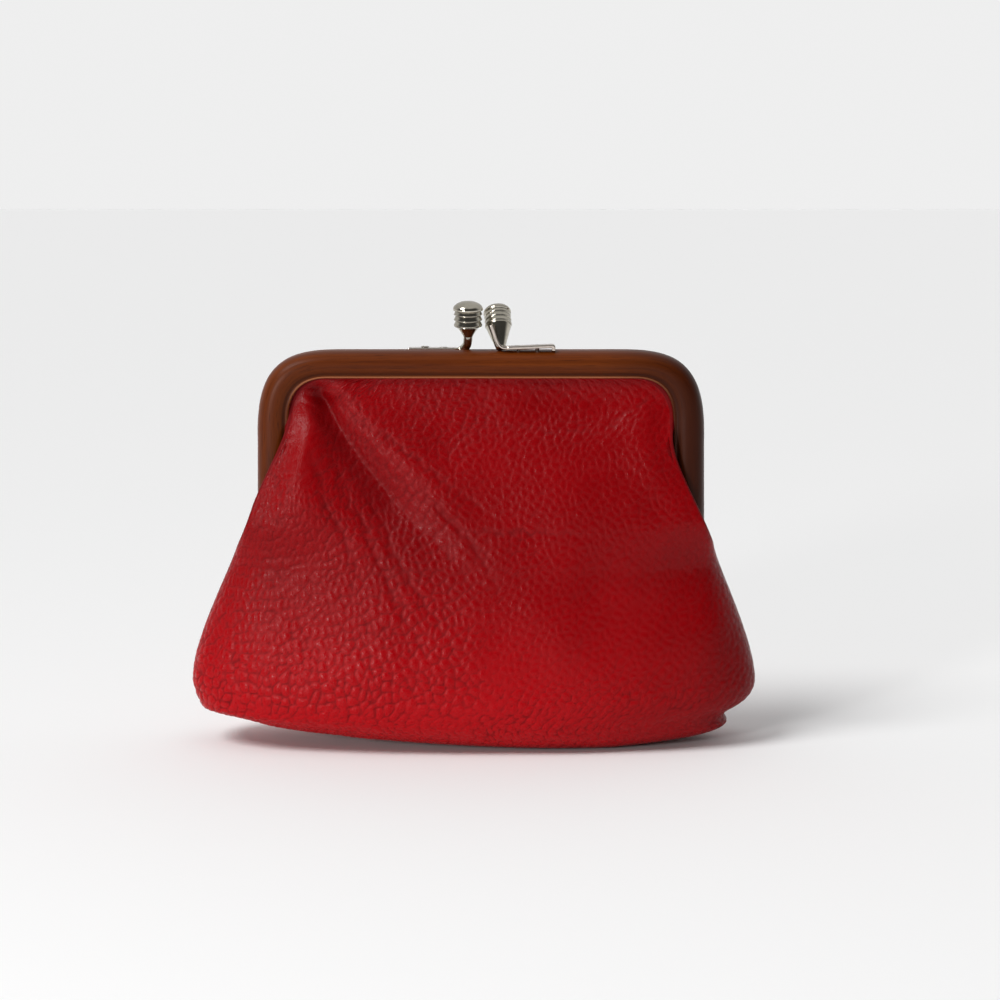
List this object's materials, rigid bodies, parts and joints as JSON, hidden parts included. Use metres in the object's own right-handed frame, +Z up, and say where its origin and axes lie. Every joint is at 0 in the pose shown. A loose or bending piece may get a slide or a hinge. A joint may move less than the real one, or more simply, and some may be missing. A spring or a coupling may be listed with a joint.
{
  "type": "coin purse",
  "caption": "Soft leather coin purse hung in a two-part wooden frame that hinges open at the sides and is held shut by a kiss-lock ball clasp.",
  "frame": {"origin": "On the ground, under the middle of the pouch.", "axes": "+X is the purse's right along its length, +Y points to its back and +Z up. The mouth hinges about the X axis at Z 54.5 mm."},
  "size_m": [0.1524, 0.044, 0.119],
  "materials": {
    "wood_frame": "stained and satin varnished",
    "leather_red": "soft pebbled grain, semi-gloss",
    "lining_cloth": "plain woven cotton",
    "clasp_nickel": "polished dark nickel",
    "hinge_nickel": "nickel plated, semi-gloss",
    "screw_steel": "turned steel",
    "paper_cord": "twisted kraft paper",
    "seam_thread": "twisted thread"
  },
  "bodies": {
    "pouch": {"front_leather_lower": "leather_red", "rear_leather_lower": "leather_red", "front_lining_lower": "lining_cloth", "rear_lining_lower": "lining_cloth", "side_seam_thread_left": "seam_thread", "side_seam_thread_right": "seam_thread", "bottom_seam_thread": "seam_thread"},
    "front_half": {"front_frame": "wood_frame", "front_paper_cord": "paper_cord", "front_leather_upper": "leather_red", "front_lining_upper": "lining_cloth", "front_clasp_strap": "clasp_nickel", "front_clasp_screw_1": "screw_steel", "front_clasp_screw_2": "screw_steel", "front_hinge_leaf_left": "hinge_nickel", "front_leaf_screw_left_1": "screw_steel", "front_leaf_screw_left_2": "screw_steel", "front_hinge_leaf_right": "hinge_nickel", "front_leaf_screw_right_1": "screw_steel", "front_leaf_screw_right_2": "screw_steel"},
    "rear_half": {"rear_frame": "wood_frame", "rear_paper_cord": "paper_cord", "rear_leather_upper": "leather_red", "rear_lining_upper": "lining_cloth", "rear_clasp_strap": "clasp_nickel", "rear_clasp_screw_1": "screw_steel", "rear_clasp_screw_2": "screw_steel", "rear_hinge_leaf_left": "hinge_nickel", "rear_leaf_screw_left_1": "screw_steel", "rear_leaf_screw_left_2": "screw_steel", "rear_hinge_leaf_right": "hinge_nickel", "rear_leaf_screw_right_1": "screw_steel", "rear_leaf_screw_right_2": "screw_steel", "hinge_pin_left": "screw_steel", "hinge_pin_right": "screw_steel"},
    "front_clasp": {"front_clasp_stem": "clasp_nickel", "front_clasp_ball": "clasp_nickel"},
    "rear_clasp": {"rear_clasp_stem": "clasp_nickel", "rear_clasp_ball": "clasp_nickel"}
  },
  "joints": [
    {"name": "front_open", "type": "hinge", "parent": "pouch", "child": "front_half", "pos_m": [0, 0, 0.0545], "axis": [1, 0, 0], "range_deg": [0, 45]},
    {"name": "rear_open", "type": "hinge", "parent": "pouch", "child": "rear_half", "pos_m": [0, 0, 0.0545], "axis": [1, 0, 0], "range_deg": [-45, 0]},
    {"name": "front_clasp_flex", "type": "hinge", "parent": "front_half", "child": "front_clasp", "pos_m": [0.0065, -0.003, 0.10735], "axis": [0, 1, 0], "range_deg": [0, 4], "stiffness_Nm_per_rad": 0.05},
    {"name": "rear_clasp_flex", "type": "hinge", "parent": "rear_half", "child": "rear_clasp", "pos_m": [-0.0065, 0.003, 0.10735], "axis": [0, -1, 0], "range_deg": [0, 4], "stiffness_Nm_per_rad": 0.05}
  ],
  "couplings": [
    {"joint": "rear_open", "follows": "front_open", "ratio": -1}
  ]
}
